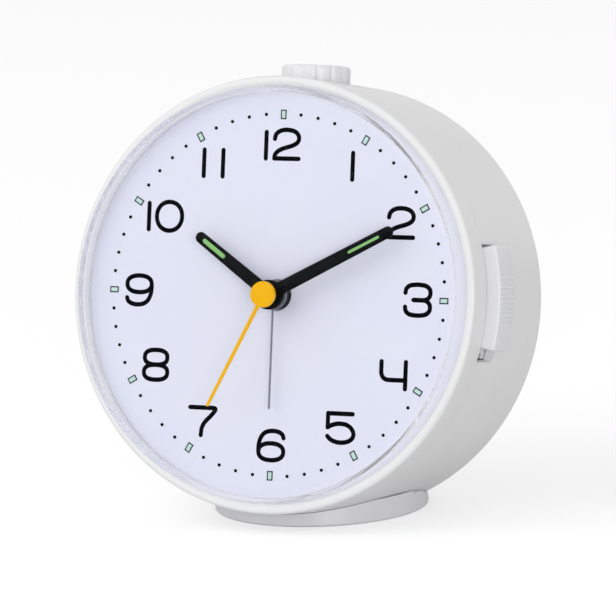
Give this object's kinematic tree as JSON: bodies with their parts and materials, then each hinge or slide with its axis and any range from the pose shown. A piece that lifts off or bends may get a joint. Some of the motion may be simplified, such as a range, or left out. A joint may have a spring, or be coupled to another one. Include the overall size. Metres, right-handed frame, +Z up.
{
  "type": "analog alarm clock",
  "caption": "Round white table alarm clock on a low round foot, with clear lens, numbered dial, turning hands, top snooze button, side alarm slider, setting knobs and battery door.",
  "frame": {"origin": "middle of the foot's flat underside, on the table", "axes": "+Z up, the dial faces -Y, +X to three o'clock as seen from the front; the case leans back 10.9 degrees"},
  "size_m": [0.1025, 0.0644, 0.1027],
  "materials": {
    "white_case": "moulded white ABS, satin gloss",
    "white_knob": "moulded white ABS, matt",
    "pale_foot": "moulded pale grey ABS",
    "clear_lens": "clear polished acrylic",
    "dial_print": "pale blue-white printed dial",
    "grey_carrier": "grey ABS",
    "black_print": "black print",
    "mint_print": "mint luminous print",
    "black_hand": "black lacquered aluminium",
    "lume_green": "pale green luminous paint",
    "amber_hand": "amber lacquer",
    "grey_hand": "grey lacquered aluminium",
    "nylon_wheel": "natural acetal",
    "housing_resin": "dark moulded resin",
    "steel_core": "bright steel",
    "rotor_ferrite": "dark ferrite or epoxy",
    "copper_wire": "enamelled copper wire",
    "green_board": "green solder mask",
    "brass_disc": "thin brass",
    "plated_contact": "nickel-plated spring steel",
    "cell_wrap": "plain wrapped cell"
  },
  "bodies": {
    "case": {"bezel_ring": "white_case", "lens": "clear_lens", "case_shell": "white_case", "back_cover": "white_case", "cover_screws": "steel_core", "foot": "pale_foot", "foot_screws": "steel_core", "dial_plate": "dial_print", "dial_carrier": "grey_carrier", "dial_numerals": "black_print", "minute_dots": "black_print", "hour_markers": "mint_print", "movement_housing": "housing_resin", "movement_screws": "steel_core", "train_bridge": "housing_resin", "movement_lid": "housing_resin", "stator": "steel_core", "coil_bobbin": "housing_resin", "motor_coil": "copper_wire", "circuit_board": "green_board", "quartz_crystal": "steel_core", "clock_chip": "rotor_ferrite", "buzzer": "brass_disc", "alarm_contact": "brass_disc", "battery": "cell_wrap", "battery_contact": "plated_contact", "battery_spring": "plated_contact", "snooze_spring": "plated_contact", "snooze_bracket": "grey_carrier", "snooze_switch": "rotor_ferrite"},
    "time_setter": {"time_set_knob": "white_knob", "minute_wheel": "nylon_wheel"},
    "minute_hands": {"minute_hand": "black_hand", "minute_hand_lume": "lume_green", "cannon_pinion": "nylon_wheel"},
    "hour_hands": {"hour_hand": "black_hand", "hour_hand_lume": "lume_green", "hour_wheel": "nylon_wheel"},
    "alarm_setter": {"alarm_set_knob": "white_knob", "alarm_set_arbor": "nylon_wheel"},
    "alarm_pointer": {"alarm_hand": "grey_hand", "alarm_wheel": "nylon_wheel"},
    "second_hands": {"second_hand": "amber_hand", "second_wheel": "nylon_wheel"},
    "transfer_gear": {"transfer_wheel": "nylon_wheel"},
    "rotor": {"rotor_pinion": "nylon_wheel", "rotor_magnet": "rotor_ferrite"},
    "third_gear": {"third_wheel": "nylon_wheel"},
    "centre_gear": {"centre_wheel": "nylon_wheel"},
    "snooze": {"snooze_button": "white_case"},
    "alarm_switch": {"alarm_slider": "white_case"},
    "door": {"battery_door": "white_case"}
  },
  "joints": [
    {"name": "time_setting", "type": "hinge", "parent": "case", "child": "time_setter", "pos_m": [-0.01, -0.0203, 0.05261], "axis": [0, 0.982, -0.1891], "continuous": true},
    {"name": "minute_turn", "type": "hinge", "parent": "case", "child": "minute_hands", "pos_m": [0, -0.0203, 0.05261], "axis": [0, 0.982, -0.1891], "continuous": true},
    {"name": "hour_turn", "type": "hinge", "parent": "case", "child": "hour_hands", "pos_m": [0, -0.0203, 0.05261], "axis": [0, 0.982, -0.1891], "continuous": true},
    {"name": "alarm_setting", "type": "hinge", "parent": "case", "child": "alarm_setter", "pos_m": [0.01, -0.0203, 0.05261], "axis": [0, 0.982, -0.1891], "continuous": true},
    {"name": "alarm_turn", "type": "hinge", "parent": "case", "child": "alarm_pointer", "pos_m": [0, -0.0203, 0.05261], "axis": [0, 0.982, -0.1891], "continuous": true},
    {"name": "second_turn", "type": "hinge", "parent": "case", "child": "second_hands", "pos_m": [0, -0.0203, 0.05261], "axis": [0, 0.982, -0.1891], "continuous": true},
    {"name": "transfer_turn", "type": "hinge", "parent": "case", "child": "transfer_gear", "pos_m": [0, -0.02166, 0.04554], "axis": [0, 0.982, -0.1891], "continuous": true},
    {"name": "rotor_turn", "type": "hinge", "parent": "case", "child": "rotor", "pos_m": [0, -0.02299, 0.03867], "axis": [0, 0.982, -0.1891], "continuous": true},
    {"name": "third_turn", "type": "hinge", "parent": "case", "child": "third_gear", "pos_m": [0, -0.01848, 0.06204], "axis": [0, 0.982, -0.1891], "continuous": true},
    {"name": "centre_turn", "type": "hinge", "parent": "case", "child": "centre_gear", "pos_m": [0, -0.0203, 0.05261], "axis": [0, 0.982, -0.1891], "continuous": true},
    {"name": "snooze_press", "type": "slide", "parent": "case", "child": "snooze", "axis": [0, -0.1891, -0.982], "range_m": [0, 0.0015], "stiffness_N_per_m": 400, "springref_m": -0.002, "deforming": ["snooze_spring"]},
    {"name": "alarm_on_off", "type": "hinge", "parent": "case", "child": "alarm_switch", "pos_m": [0, -0.0203, 0.05261], "axis": [0, 0.982, -0.1891], "range_deg": [0, 3.4]},
    {"name": "battery_door_hinge", "type": "hinge", "parent": "case", "child": "door", "pos_m": [0, 0.01281, 0.01671], "axis": [-1, 0, 0], "range_deg": [0, 70]}
  ],
  "couplings": [
    {"joint": "minute_turn", "follows": "time_setting", "ratio": -3},
    {"joint": "hour_turn", "follows": "time_setting", "ratio": -0.25},
    {"joint": "alarm_turn", "follows": "alarm_setting", "ratio": -0.33333},
    {"joint": "transfer_turn", "follows": "second_turn", "ratio": -5},
    {"joint": "rotor_turn", "follows": "second_turn", "ratio": 30},
    {"joint": "third_turn", "follows": "second_turn", "ratio": -0.13333},
    {"joint": "centre_turn", "follows": "second_turn", "ratio": 0.016667}
  ]
}
